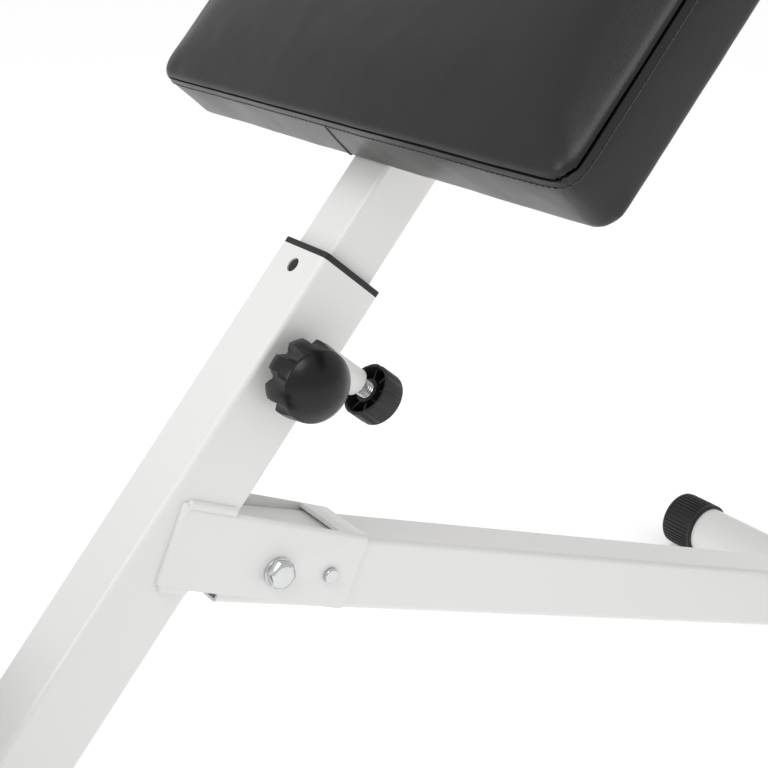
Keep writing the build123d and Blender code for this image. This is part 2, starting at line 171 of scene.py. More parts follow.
post_seat = seat(clamp_at, along, above)

# ---- Post collar: plastic bushing in the post's end ----
# Black polypropylene, injection moulded, pushed into the post until its snap springs into the hole in the
# tube. Its edges have the small round that a mould gives.


def solo(piece):
    """Selects one piece and nothing else."""
    bpy.ops.object.select_all(action="DESELECT")
    piece.select_set(True)
    bpy.context.view_layer.objects.active = piece


def apply_modifier(piece, kind, **settings):
    """Adds a modifier, sets it, and applies it."""
    solo(piece)
    bpy.ops.object.modifier_add(type=kind)
    modifier = piece.modifiers[-1]
    for name, value in settings.items():
        setattr(modifier, name, value)
    bpy.ops.object.modifier_apply(modifier=modifier.name)


def soften(piece, width_mm, segments=2, angle=30):
    """Rounds a piece's sharp edges."""
    apply_modifier(piece, "BEVEL", width=width_mm / 1000, segments=segments, limit_method="ANGLE",
                   angle_limit=radians(angle), use_clamp_overlap=True)


def settle(piece, at=Matrix()):
    """Moves a piece from its drawing frame to its place on the bench, and keeps the place in its mesh."""
    solo(piece)
    bpy.context.view_layer.update()
    piece.matrix_world = at @ piece.matrix_world
    bpy.ops.object.transform_apply(location=True, rotation=True, scale=True)


def fit(piece, name, material, body, nodes=(), angle=35):
    """Names and finishes a piece, and fixes it to its body in place of its CAD nodes."""
    piece.name = name
    piece.data.name = name
    piece.data.materials.clear()
    piece.data.materials.append(material)
    solo(piece)
    bpy.ops.object.shade_smooth_by_angle(angle=radians(angle))
    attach(piece, body)
    if nodes:
        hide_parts(*nodes)


def drawn_from(node, width_mm, segments=2):
    """A copy of a CAD node with its triangles merged to whole faces and its sharp edges rounded."""
    piece = bpy.data.objects.new(node + "_finished", frame["nodes"][node].data.copy())
    bpy.context.collection.objects.link(piece)
    solo(piece)
    bpy.ops.object.mode_set(mode="EDIT")
    bpy.ops.mesh.select_all(action="SELECT")
    bpy.ops.mesh.remove_doubles(threshold=0.00001)
    bpy.ops.mesh.dissolve_limited(angle_limit=radians(0.5))
    bpy.ops.object.mode_set(mode="OBJECT")
    soften(piece, width_mm, segments)
    return piece


# Polypropylene from a spark-eroded mould: nearly black, dull, with a fine even grain. The real grain of 0.1
# mm is drawn at 0.5 mm so that it shows.
moulded_black, shader, place = new_material("polypropylene_moulded_matt", "181819", 0.5, ior=1.49)
spread(moulded_black, place, 18, 0.44, 0.56, shader.inputs["Roughness"])
mould_grain = add_node(moulded_black, "TexNoise", {"Scale": 1000 / 0.5, "Detail": 2.0}, {"Vector": place})
relief(moulded_black, shader, mould_grain.outputs["Fac"], 0.03)

fit(drawn_from("post_collar", 0.5), "post_collar_moulded", moulded_black, "frame",
    ["post_collar"])

# ---- Cross feet: a round tube with a ribbed cap on each end ----
# Steel tube 50 mm across, powder coated, with a polypropylene cap pushed over each end. The caps have
# lengthwise ribs and a flat underneath, where the bench rests on them.
paint(powder_coat, "rear_foot_tube", "front_foot_tube")
cap_ribs = 44
cap_rib_height = 0.9
cap_rib_width = 2.1
cap_rib_round = 0.35
cap_rib_margin = 4.5       # the ribs stop this short of the cap's ends
cap_end_round = 2.5
cap_wall = 3.4
cap_band = 3.0             # plain band at the cap's open end


def pick(piece, test, kind="VERT"):
    """Selects the parts of a mesh in edit mode whose middle passes a test."""
    mesh = bmesh.from_edit_mesh(piece.data)
    bpy.context.tool_settings.mesh_select_mode = (kind == "VERT", kind == "EDGE", kind == "FACE")
    for part in mesh.faces:
        part.select_set(False)
    for part in mesh.edges:
        part.select_set(False)
    for part in mesh.verts:
        part.select_set(False)
    for part in {"VERT": mesh.verts, "EDGE": mesh.edges, "FACE": mesh.faces}[kind]:
        if kind == "VERT":
            middle = part.co
        else:
            middle = sum((vertex.co for vertex in part.verts), Vector()) / len(part.verts)
        if test(middle):
            part.select_set(True)
    mesh.select_flush_mode()
    bmesh.update_edit_mesh(piece.data)


def block(size, at=(0, 0, 0)):
    """A box of a size and place in metres."""
    bpy.ops.object.select_all(action="DESELECT")
    bpy.ops.mesh.primitive_cube_add(size=1, location=at)
    piece = bpy.context.object
    piece.scale = size
    bpy.ops.object.transform_apply(location=True, rotation=True, scale=True)
    return piece


def wire(profile_mm):
    """A line through (radius, height) points in millimetres, left in edit mode."""
    points = [Vector((radius, 0, height)) / 1000 for radius, height in profile_mm]
    bpy.ops.object.select_all(action="DESELECT")
    bpy.ops.mesh.primitive_plane_add(size=0.001, location=(0, 0, 0))
    piece = bpy.context.object
    bpy.ops.object.mode_set(mode="EDIT")
    bpy.ops.mesh.select_all(action="SELECT")
    bpy.ops.mesh.merge(type="CENTER")
    bpy.ops.transform.translate(value=points[0])
    for start, end in zip(points, points[1:]):
        bpy.ops.mesh.extrude_region_move(TRANSFORM_OT_translate={"value": end - start})
    return piece


def turned(profile_mm, steps=64):
    """Lathes a profile of (radius, height) points in millimetres about z."""
    piece = wire(profile_mm)
    bpy.ops.mesh.select_all(action="SELECT")
    bpy.ops.mesh.spin(steps=steps, angle=tau, center=(0, 0, 0), axis=(0, 0, 1))
    bpy.ops.mesh.select_all(action="SELECT")
    bpy.ops.mesh.remove_doubles(threshold=0.000002)
    bpy.ops.mesh.normals_make_consistent(inside=False)
    bpy.ops.object.mode_set(mode="OBJECT")
    return piece


def rounded(radius, height, corner, inwards=1, steps=4):
    """Profile points round a convex corner, from its side to its end, in millimetres."""
    turns = [pi / 2 * i / steps for i in range(steps + 1)]
    return [(radius - corner * (1 - cos(turn)), height + inwards * (-corner + corner * sin(turn)))
            for turn in turns]


def strew(pattern, name, seats):
    """Copies one modelled pattern to each seat, each copy with its own mesh, and joins them all."""
    copies = []
    for number, place in enumerate(seats):
        copy = bpy.data.objects.new(f"{name}_{number}", pattern.data.copy())
        bpy.context.collection.objects.link(copy)
        copy.matrix_world = place
        copies.append(copy)
    bpy.data.objects.remove(pattern)
    bpy.ops.object.select_all(action="DESELECT")
    for copy in copies:
        copy.select_set(True)
    bpy.context.view_layer.objects.active = copies[0]
    bpy.ops.object.join()
    bpy.ops.object.transform_apply(location=True, rotation=True, scale=True)
    copies[0].name = name
    return copies[0]


def join(piece, *others):
    """Joins pieces into the first one."""
    bpy.ops.object.select_all(action="DESELECT")
    for other in others:
        other.select_set(True)
    piece.select_set(True)
    bpy.context.view_layer.objects.active = piece
    bpy.ops.object.join()
    return piece


for foot, body in (("rear", "frame"), ("front", "leg")):
    for side, way in (("near", -across), ("far", across)):
        node = f"{foot}_foot_cap_{side}"
        low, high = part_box(node)
        radius = (high[0] - low[0]) * 500
        centre = Vector(((low[0] + high[0]) / 2, 0, high[2] - radius / 1000))
        inner, outer = (station * 1000 for station in reach(node, way))
        skin = radius - cap_rib_height
        profile = [(radius - cap_wall, inner), (skin, inner), (skin, inner + 1), (radius, inner + 1.5),
                   (radius, inner + 1.5 + cap_band), (skin, inner + 2 + cap_band),
                   (skin, outer - cap_end_round - 2.1), (radius - 0.2, outer - cap_end_round - 1.6)]
        profile += rounded(radius - 0.2, outer, cap_end_round)
        profile += [(radius - 5, outer - 0.6), (0, outer - 0.8)]
        cap = turned(profile, 72)
        rib_length = outer - inner - 2 * cap_rib_margin
        rib = block((2 * cap_rib_height / 1000, cap_rib_width / 1000, rib_length / 1000))
        soften(rib, cap_rib_round)
        spots = [Matrix.Rotation(tau * (i + 0.5) / cap_ribs, 4, "Z") @ Matrix.Translation(
            ((skin + 0.05) / 1000, 0, (inner + outer) / 2000)) for i in range(cap_ribs)]
        cap = join(cap, strew(rib, "ribs", spots))
        settle(cap, seat(centre, Vector((1, 0, 0)), way))
        bpy.ops.object.mode_set(mode="EDIT")
        bpy.ops.mesh.select_all(action="SELECT")
        bpy.ops.mesh.bisect(plane_co=(0, 0, low[2] + 0.0001), plane_no=(0, 0, 1), clear_inner=True,
                            use_fill=True)
        bpy.ops.object.mode_set(mode="OBJECT")
        fit(cap, f"{node}_moulded", moulded_black, body, [node])

# ---- Foot plate: sheet on two ribs, with a rubber mat for each foot ----
# 3 mm sheet steel, blanked with round corners, welded to the post on two ribs and powder coated. Each mat is
# moulded rubber with ribs across it, glued down.
mat_rib_pitch = 6.0
mat_rib_width = 3.2
mat_rib_height = 1.3
mat_rib_round = 1.0
mat_side_margin = 0.006    # the ribs stop this short of the mat's sides
mat_end_margin = 0.007
paint(powder_coat, "foot_plate_rib_near", "foot_plate_rib_far")
fit(drawn_from("foot_plate", 0.6), "foot_plate_blanked", powder_coat, "frame", ["foot_plate"])

# Moulded rubber: a dull warm black with a faint bloom in patches.
mat_rubber, shader, place = new_material("nitrile_rubber_moulded", "1F1F1F", 0.72, ior=1.52)
spread(mat_rubber, place, 22, 0.62, 0.82, shader.inputs["Roughness"])
rubber_grain = add_node(mat_rubber, "TexNoise", {"Scale": 1000 / 0.8, "Detail": 3.0}, {"Vector": place})
relief(mat_rubber, shader, rubber_grain.outputs["Fac"], 0.05)
for side in ("near", "far"):
    node = f"foot_mat_{side}"
    mat = drawn_from(node, 0.5)
    x_high = reach(node, along, clamp_at)[1]
    y_low, y_high = reach(node, across)
    u_low, u_high = reach(node, above, clamp_at)
    mat.matrix_world = post_seat.inverted()
    bpy.context.view_layer.update()
    solo(mat)
    bpy.ops.object.transform_apply(location=True, rotation=True, scale=True)
    bpy.ops.object.mode_set(mode="EDIT")
    pick(mat, lambda middle: middle.x > x_high - 0.0009)
    bpy.ops.transform.translate(value=(-mat_rib_height / 1000, 0, 0))
    bpy.ops.object.mode_set(mode="OBJECT")
    rib = block((2 * mat_rib_height / 1000, y_high - y_low - 2 * mat_side_margin, mat_rib_width / 1000))
    soften(rib, mat_rib_round, 3)
    count = int((u_high - u_low - 2 * mat_end_margin) * 1000 / mat_rib_pitch)
    first = (u_low + u_high) / 2 - (count - 1) / 2 * mat_rib_pitch / 1000
    spots = [Matrix.Translation((x_high - 1.02 * mat_rib_height / 1000, (y_low + y_high) / 2,
                                 first + i * mat_rib_pitch / 1000)) for i in range(count)]
    mat = join(mat, strew(rib, "mat_ribs", spots))
    settle(mat, post_seat)
    fit(mat, f"{node}_ribbed", mat_rubber, "frame", [node])

# ---- Ankle rollers: an upright, a bar through it and a foam roller on each side ----
# A 38 mm square steel upright carries a 25 mm round bar. Each roller is closed-cell foam tube on a plastic
# core that turns on the bar, between the upright and a cap in the bar's end.
foam_end_round = 9.0
foam_crown = 1.2           # the foam is this much thinner at its ends
paint(powder_coat, "roller_upright", "roller_bar")
paint(moulded_black, "roller_core_near", "roller_core_far")
fit(drawn_from("roller_upright_cap", 0.9, 3), "roller_upright_cap_moulded", moulded_black, "frame",
    ["roller_upright_cap"])
for side in ("near", "far"):
    fit(drawn_from(f"roller_bar_cap_{side}", 0.4), f"roller_bar_cap_{side}_moulded", moulded_black, "frame",
        [f"roller_bar_cap_{side}"])

# Nitrile foam with a closed skin: dull black, with fine open pores where the tube was ground to size.
roller_foam, shader, place = new_material("nitrile_foam_ground", "242425", 0.82, ior=1.4, sheen_weight=0.25)
spread(roller_foam, place, 30, 0.74, 0.9, shader.inputs["Roughness"])
pores = add_node(roller_foam, "TexVoronoi", {"Scale": 1000 / 1.3}, {"Vector": place})
pore_relief = relief(roller_foam, shader, pores.outputs["Distance"], 0.12)
dents = add_node(roller_foam, "TexNoise", {"Scale": 1000 / 25, "Detail": 2.0}, {"Vector": place})
relief(roller_foam, shader, dents.outputs["Fac"], 0.5, pore_relief)
roller_at = Vector(joints["roller_near_spin"]["pos_m"])
for side, way in (("near", -across), ("far", across)):
    node = f"roller_foam_{side}"
    core_radius = reach(f"roller_core_{side}", along, roller_at)[1] * 1000
    foam_radius = reach(node, along, roller_at)[1] * 1000
    inner, outer = (station * 1000 for station in reach(node, way))
    middle = (inner + outer) / 2
    half = (outer - inner) / 2
    profile = [(core_radius, inner + 1.5), (core_radius + 3, inner)]
    profile += rounded(foam_radius - foam_crown, inner, foam_end_round, -1)[::-1]
    straight = half - foam_end_round - 2
    profile += [(foam_radius - foam_crown * (abs(step) / 5) ** 2, middle + step / 5 * straight)
                for step in range(-4, 5)]
    profile += rounded(foam_radius - foam_crown, outer, foam_end_round)
    profile += [(core_radius + 3, outer), (core_radius, outer - 1.5), (core_radius, inner + 1.5)]
    foam = turned(profile, 72)
    settle(foam, seat(roller_at, along, way))
    fit(foam, f"{node}_ground", roller_foam, f"roller_{side}", [node])

# ---- Pivot bracket: bent sheet, welded over the post's sides ----
# 3 mm sheet steel, bent to an upside-down channel over the leg's end. It laps the post's sides, where MIG
# fillet welds run along the laps, and is powder coated with them.
bead_radius = 3.2
bead_pitch = 1.5
bead_grain = 0.7
bead_melt = 6              # rounds of smoothing that run the puddles together
bead_squash = 0.62
bead_stand = 0.25          # a bead's middle lies this share of the bracket's sheet out from the post
fit(drawn_from("pivot_bracket", 0.7, 3), "pivot_bracket_bent", powder_coat, "frame",
    ["pivot_bracket"])
pivot_at = Vector(joints["leg_fold"]["pos_m"])


def upward(node):
    """Direction that a CAD node's largest flat face on its upper side looks in."""
    areas = {}
    for face in frame["nodes"][node].data.polygons:
        if abs(face.normal.y) < 0.1 and face.normal.z > 0.3:
            key = tuple(round(part, 3) for part in face.normal)
            areas[key] = areas.get(key, 0) + face.area
    return Vector(max(areas, key=areas.get)).normalized()


def melt(piece, voxel):
    """Makes one closed skin of a piece, in cells of a size in metres."""
    piece.data.remesh_voxel_size = voxel
    solo(piece)
    bpy.ops.object.voxel_remesh()


def weld(name, runs, body, radius=bead_radius):
    """A fillet weld: puddles laid one over the next along runs of points, melted into one bead."""
    bpy.ops.object.select_all(action="DESELECT")
    bpy.ops.mesh.primitive_uv_sphere_add(segments=12, ring_count=8, radius=radius / 1000)
    puddle = bpy.context.object
    spots = []
    for run in runs:
        for start, end in zip(run, run[1:]):
            count = max(1, round((end - start).length * 1000 / bead_pitch))
            turn = (end - start).to_track_quat("X", "Z").to_matrix().to_4x4()
            flat = Matrix.Diagonal((bead_squash, 1, 1, 1))
            for step in range(count):
                spots.append(Matrix.Translation(start.lerp(end, step / count)) @ (turn @ flat))
    bead = strew(puddle, name, spots)
    melt(bead, bead_grain / 1000)
    apply_modifier(bead, "SMOOTH", factor=0.5, iterations=bead_melt)
    fit(bead, name, powder_coat, body, angle=60)
    return bead


bracket_up = upward("pivot_bracket")
bracket_way = across.cross(bracket_up)
bracket_back = reach("pivot_bracket", bracket_way, pivot_at)[0]
bracket_low, bracket_top = reach("pivot_bracket", bracket_up, pivot_at)
post_side = reach("post_tube", across)[1]
bracket_side = reach("pivot_bracket", across)[1]
bead_line = post_side + bead_stand * (bracket_side - post_side)
post_under = reach("post_tube", above, clamp_at)[0]


def lap(x_station, v_station, y_station):
    """Point on the bracket's outline."""
    return pivot_at + x_station * bracket_way + v_station * bracket_up + y_station * across


def lap_end(v_station):
    """Where the post's underside crosses the bracket, for a height over the pivot."""
    start = lap(0, v_station, 0)
    return (post_under - (start - clamp_at).dot(above)) / bracket_way.dot(above)


bead_seat = 0.0008
top_stop = lap_end(bracket_top) - 0.005      # the runs stop this short of the post's underside
low_stop = lap_end(bracket_low) - 0.004
runs = []
for side in (-1, 1):
    line = side * bead_line
    top_run = [lap(x, bracket_top + bead_seat, line) for x in (top_stop, bracket_back)]
    back_run = [lap(bracket_back - bead_seat, v, line) for v in (bracket_top, bracket_low)]
    low_run = [lap(x, bracket_low - bead_seat, line) for x in (bracket_back, low_stop)]
    runs += [top_run, back_run, low_run]
bracket_bead = weld("bracket_weld_bead", runs, "frame")
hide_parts("bracket_welds")

# ---- Pivot bolt: hex bolt, nut and washers through the bracket and the leg's bush ----
# M10 steel, cold headed and zinc plated bright. Head and nut are the CAD shapes, cut with a cone for the
# chamfer that such a hex has on its free face, and carry no marks.
chamfer_face = 6.9         # radius of the flat inside the chamfer
chamfer_drop = 1.9
chamfer_rim = 9.9          # radius where the chamfer has dropped so far

# Bright zinc on steel: metal with a pale grey cast, its gloss a little uneven from the plating bath.
zinc_plate, shader, place = new_material("steel_zinc_plated_bright", "D2D4D5", 0.24, metallic=1.0)
spread(zinc_plate, place, 9, 0.18, 0.3, shader.inputs["Roughness"])
draw_lines = add_node(zinc_plate, "TexNoise", {"Scale": 1000 / 0.9, "Detail": 2.0}, {"Vector": place})
relief(zinc_plate, shader, draw_lines.outputs["Fac"], 0.003)


def cut(piece, cutter, operation="DIFFERENCE"):
    """Cuts another piece out of a piece, adds it, or keeps what the two share."""
    solo(piece)
    bpy.ops.object.modifier_add(type="BOOLEAN")
    modifier = piece.modifiers[-1]
    modifier.operation = operation
    modifier.solver = "EXACT"
    modifier.object = cutter
    bpy.ops.object.modifier_apply(modifier=modifier.name)
    bpy.data.objects.remove(cutter)


for node, way in (("pivot_bolt", -across), ("pivot_nut", across)):
    hexed = drawn_from(node, 0.3, 2)
    inner, outer = (station * 1000 for station in reach(node, way))
    cone = turned([(0, inner - 1), (chamfer_rim + 3, inner - 1), (chamfer_rim + 3, outer - chamfer_drop - 1),
                   (chamfer_rim, outer - chamfer_drop), (chamfer_face, outer - 0.15),
                   (chamfer_face - 0.5, outer + 0.01), (0, outer + 0.01)], 96)
    settle(cone, seat(pivot_at - pivot_at.y * across, Vector((1, 0, 0)), way))
    cut(hexed, cone, "INTERSECT")
    fit(hexed, f"{node}_plated", zinc_plate, "frame", [node])
fit(drawn_from("pivot_washers", 0.5, 3), "pivot_washers_plated", zinc_plate, "frame",
    ["pivot_washers"])
paint(zinc_plate, "pivot_bush")

# ---- Front leg: square tube, coped onto the front foot ----
# The same 50 mm tube as the post, open at its hinged end, with a plate in its foot end over the cope. Its
# joint to the foot is welded all round, as the post's is to the rear foot.
paint(powder_coat, "leg_tube", "leg_end_plate")
leg_up = upward("leg_tube")
leg_way = across.cross(leg_up)
half_tube = post_side
tube_round = 0.004
cope_step = 0.006
weld_lift = 0.0006


def coped_ring(centre, way, up, foot_radius, rise=0.0):
    """Points round a square tube where it meets a round foot that lies across it."""
    flat = half_tube - tube_round
    ring = [(flat, half_tube), (half_tube, flat), (half_tube, -flat), (flat, -half_tube), (-flat, -half_tube),
            (-half_tube, -flat), (-half_tube, flat), (-flat, half_tube), (flat, half_tube)]
    points = []
    for (y0, u0), (y1, u1) in zip(ring, ring[1:]):
        steps = max(1, round(abs(u1 - u0) / cope_step))
        for step in range(steps):
            y_station = y0 + (y1 - y0) * step / steps
            u_station = u0 + (u1 - u0) * step / steps
            off = min(abs(u_station - rise), foot_radius * 0.999)
            x_station = (foot_radius ** 2 - off ** 2) ** 0.5
            points.append(centre + way * x_station + up * (u_station - rise) + across * y_station)
    return points + points[:1]


def foot_centre(foot):
    """Middle of a cross foot's tube."""
    low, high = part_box(f"{foot}_foot_tube")
    return (Vector(low) + Vector(high)) / 2


foot_radius = (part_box("rear_foot_tube")[1][0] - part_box("rear_foot_tube")[0][0]) / 2
rear_ring = coped_ring(foot_centre("rear"), along, above, foot_radius + weld_lift)
weld("rear_foot_weld_bead", [rear_ring], "frame")
leg_drop = (foot_centre("front") - pivot_at).dot(leg_up)
front_ring = coped_ring(foot_centre("front"), -leg_way, leg_up, foot_radius + weld_lift, leg_drop)
weld("front_foot_weld_bead", [front_ring], "leg")

# ---- Lock pins: two short pins in the bracket ----
# Turned steel, zinc plated, with a domed end that a finger presses.
for side in ("near", "far"):
    node = f"leg_lock_pin_{side}"
    fit(drawn_from(node, 0.2), f"{node}_turned", zinc_plate, f"lock_pin_{side}", [node])

# ---- Sliding tube: 38 mm square tube in the post ----
# Powder coated steel tube with a row of lock holes underneath, a plastic guide in its lower end and a plug in
# its upper end.
paint(powder_coat, "inner_tube")
paint(moulded_black, "inner_tube_guide", "inner_tube_plug")

# ---- Clamp screw: weld nut, stud and dome knob on the post's near side ----
# The knob is glossy ABS moulded round a zinc plated M12 stud. Its skirt has eight half-round flutes for the
# fingers and tapers up to a ball-shaped dome. The stud turns in a round nut that is welded to the post.
thread_pitch = 1.75
thread_depth = 1.05
crest_drop = 0.12
crest_width = 0.31
dome_height = 12.0
dome_ball = 26.8
flute_count = 8
flute_radius = 5.6
flute_centre = 26.8
flute_turn = 25.5
knob_hub = 10.0
skirt_inside = 21.8


def threaded(radius, low, high):
    """Steel stud with a rolled thread about z: one tooth's outline, wound up the stud and cut square."""
    crest = radius - crest_drop
    root = radius - thread_depth
    outline = [(root, 0), (crest, (thread_pitch - crest_width) / 2),
               (crest, (thread_pitch + crest_width) / 2), (root, thread_pitch)]
    stud = wire([(r, low - 2 * thread_pitch + z) for r, z in outline])
    bpy.ops.object.mode_set(mode="OBJECT")
    apply_modifier(stud, "SCREW", axis="Z", screw_offset=thread_pitch / 1000, steps=28, render_steps=28,
                   iterations=int((high - low) / thread_pitch) + 5, use_merge_vertices=True,
                   merge_threshold=0.000002)
    solo(stud)
    bpy.ops.object.mode_set(mode="EDIT")
    for station, way in ((low, 1), (high, -1)):
        bpy.ops.mesh.select_all(action="SELECT")
        bpy.ops.mesh.bisect(plane_co=(0, 0, station / 1000), plane_no=(0, 0, way), clear_inner=True,
                            use_fill=True)
    bpy.ops.mesh.select_all(action="SELECT")
    bpy.ops.mesh.remove_doubles(threshold=0.000002)
    bpy.ops.mesh.normals_make_consistent(inside=False)
    bpy.ops.object.mode_set(mode="OBJECT")
    return stud


def flute_bars(count, distance, radius, low, high, turn=0.0):
    """Round bars in a circle about z, to cut flutes with, in millimetres."""
    bpy.ops.object.select_all(action="DESELECT")
    bpy.ops.mesh.primitive_cylinder_add(vertices=32, radius=radius / 1000, depth=(high - low) / 1000)
    bar = bpy.context.object
    spots = [Matrix.Rotation(radians(turn) + tau * i / count, 4, "Z") @ Matrix.Translation(
        (distance / 1000, 0, (low + high) / 2000)) for i in range(count)]
    return strew(bar, "flute_bars", spots)


clamp_seat = seat(clamp_at, along, -across)
fit(drawn_from("clamp_nut", 0.8, 3), "clamp_nut_turned", powder_coat, "frame", ["clamp_nut"])
stud_low, stud_high = (station * 1000 for station in reach("clamp_stud", -across, clamp_at))
stud_radius = reach("clamp_stud", along, clamp_at)[1] * 1000
stud = threaded(stud_radius, stud_low, stud_high)
settle(stud, clamp_seat)
fit(stud, "clamp_stud_rolled", zinc_plate, "clamp_screw", ["clamp_stud"], 50)

knob_low, knob_high = (station * 1000 for station in reach("clamp_knob", -across, clamp_at))
knob_radius = reach("clamp_knob", above, clamp_at)[1] * 1000
skirt_top = knob_high - dome_height
ball_centre = knob_high - dome_ball
edge_rise = asin((skirt_top + 0.1 - ball_centre) / dome_ball)
dome_radius = dome_ball * cos(edge_rise)
bore_radius = stud_radius + 0.05
bore_end = knob_low + 14
knob_recess = knob_low + 3
skirt_radius = knob_radius - 0.05
profile = [(0, bore_end), (bore_radius, bore_end), (bore_radius, knob_low + 0.6)]
profile += [(stud_radius + 0.6, knob_low), (knob_hub - 0.5, knob_low), (knob_hub, knob_low + 0.5)]
profile += [(knob_hub + 0.5, knob_recess), (skirt_inside - 0.8, knob_recess)]
profile += [(skirt_inside, knob_low + 0.5), (skirt_inside + 0.6, knob_low)]
profile += [(knob_radius - 0.6, knob_low + 0.1), (skirt_radius, knob_low + 0.8)]
profile += [(skirt_radius, knob_low + 5.5), (24.5, knob_low + 9.5), (23.7, knob_low + 13.5)]
profile += [(dome_radius + 0.7, skirt_top - 1.6), (dome_radius + 0.25, skirt_top - 0.3)]
profile += [(dome_radius - 0.25, skirt_top - 0.2), (dome_radius - 0.25, skirt_top)]
profile += [(dome_ball * cos(turn), ball_centre + dome_ball * sin(turn))
            for turn in (edge_rise + (pi / 2 - edge_rise) * i / 14 for i in range(14))]
profile += [(0, knob_high)]
knob = turned(profile, 126)
cut(knob, flute_bars(flute_count, flute_centre, flute_radius, knob_low - 2, skirt_top - 1.2, turn=flute_turn))
soften(knob, 0.5, 3, 40)
settle(knob, clamp_seat)

# ABS from a polished mould: black and glossy, with the faint waviness of a thick moulding as it shrinks.
gloss_black, shader, place = new_material("abs_moulded_polished", "0A0A0A", 0.3, ior=1.42)
spread(gloss_black, place, 14, 0.27, 0.33, shader.inputs["Roughness"])
shrink_waves = add_node(gloss_black, "TexNoise", {"Scale": 1000 / 9, "Detail": 1.0}, {"Vector": place})
relief(gloss_black, shader, shrink_waves.outputs["Fac"], 0.03)
fit(knob, "clamp_knob_moulded", gloss_black, "clamp_grip", ["clamp_knob"], 40)

# ---- Lock screw: welded sleeve, stud and cup knob under the post ----
# The sleeve is threaded round steel, welded square to the post and powder coated. The knob is a black
# polypropylene cup on an M12 stud, hollow towards the post, with a hub and thin ribs inside.
cup_ribs = 8
cup_rib_thick = 1.3
cup_flutes = 10
cup_flute_centre = 6.2     # outside the cup's radius
cup_flute_radius = 7.0
cup_depth = 5.0            # solid end behind the cup's floor
cup_wall = 2.0
rib_foot = 7.6             # radius where the ribs start, inside the hub
lock_at = Vector(joints["lock_turn"]["pos_m"])
lock_seat = seat(lock_at, along, -above)
fit(drawn_from("lock_sleeve", 0.7, 3), "lock_sleeve_turned", powder_coat, "frame",
    ["lock_sleeve"])
stud_low, stud_high = (station * 1000 for station in reach("lock_stud", -above, lock_at))
stud = threaded(stud_radius, stud_low, stud_high)
settle(stud, lock_seat)
fit(stud, "lock_stud_rolled", zinc_plate, "lock_screw", ["lock_stud"], 50)

cup_low, cup_high = (station * 1000 for station in reach("lock_knob", -above, lock_at))
cup_radius = reach("lock_knob", across)[1] * 1000
cup_floor = cup_high - cup_depth
cup_inside = cup_radius - cup_wall
hub_low = cup_low + 1.1
profile = [(0, cup_floor + 2), (bore_radius, cup_floor + 2), (bore_radius, hub_low + 0.7),
           (stud_radius + 0.6, hub_low), (8.0, hub_low), (8.5, hub_low + 0.5), (8.7, cup_floor),
           (cup_inside - 0.9, cup_floor), (cup_inside - 0.3, cup_low + 0.4), (cup_inside, cup_low)]
profile += [(cup_radius - 0.5, cup_low), (cup_radius - 0.02, cup_low + 0.5)]
profile += rounded(cup_radius, cup_high, 3.6, 1, 5)
profile += [(cup_radius - 6, cup_high - 0.1), (8, cup_high - 0.5), (0, cup_high - 0.6)]
cup = turned(profile, 120)
rib_low, rib_high = cup_low + 4.6, cup_floor + 0.6
rib = block(((cup_inside - rib_foot) / 1000, cup_rib_thick / 1000, (rib_high - rib_low) / 1000))
spots = [Matrix.Rotation(tau * (i + 0.5) / cup_ribs, 4, "Z") @ Matrix.Translation(
    ((cup_inside + rib_foot) / 2000, 0, (rib_high + rib_low) / 2000)) for i in range(cup_ribs)]
cut(cup, strew(rib, "cup_ribs", spots), "UNION")
cut(cup, flute_bars(cup_flutes, cup_radius + cup_flute_centre, cup_flute_radius, cup_low - 2, cup_high + 2))
soften(cup, 0.35, 2, 35)
settle(cup, lock_seat)
fit(cup, "lock_knob_moulded", moulded_black, "lock_grip", ["lock_knob"], 40)


def ring_at(centre, x_way, y_way, radius, count=24):
    """Points in a circle."""
    turns = [tau * i / count for i in range(count + 1)]
    return [centre + radius * (cos(turn) * x_way + sin(turn) * y_way) for turn in turns]


sleeve_radius = reach("lock_sleeve", across)[1]
sleeve_bead = 1.8
sleeve_lift = 0.0004
nut_bead = 1.3
nut_lift = 0.0002
sleeve_end = lock_at + above * (post_under - sleeve_lift)
sleeve_ring = ring_at(sleeve_end, along, across, sleeve_radius + sleeve_lift)
weld("lock_sleeve_weld_bead", [sleeve_ring], "frame", sleeve_bead)
nut_ring = ring_at(clamp_at - across * (post_side + nut_lift), along, above, sleeve_radius + nut_lift)
weld("clamp_nut_weld_bead", [nut_ring], "frame", nut_bead)
upright_half = reach("roller_upright", across)[1]
upright_middle = sum(reach("roller_upright", along, clamp_at)) / 2
upright_foot = clamp_at + upright_middle * along - above * post_under
corner = upright_half - 0.002
square = [(upright_half, corner), (upright_half, -corner), (corner, -upright_half), (-corner, -upright_half),
          (-upright_half, -corner), (-upright_half, corner), (-corner, upright_half), (corner, upright_half),
          (upright_half, corner)]
weld("roller_upright_weld_bead", [[upright_foot + x * along + y * across for x, y in square]], "frame")

# ---- Pad: plates on the sliding tube, a plywood board, and a foam cushion in vinyl ----
# Two flat steel plates are welded across the tube. Screws go up through them into tee nuts in a 12 mm plywood
# board. The cushion is foam on the board under glossy black vinyl, whose top panel is sewn to a side band,
# turned under the board and stapled.
paint(powder_coat, "pad_mount_lower", "pad_mount_upper")
paint(zinc_plate, "pad_tee_nuts")
fit(drawn_from("pad_screws", 0.4), "pad_screws_plated", zinc_plate, "pad_slider",
    ["pad_screws"])

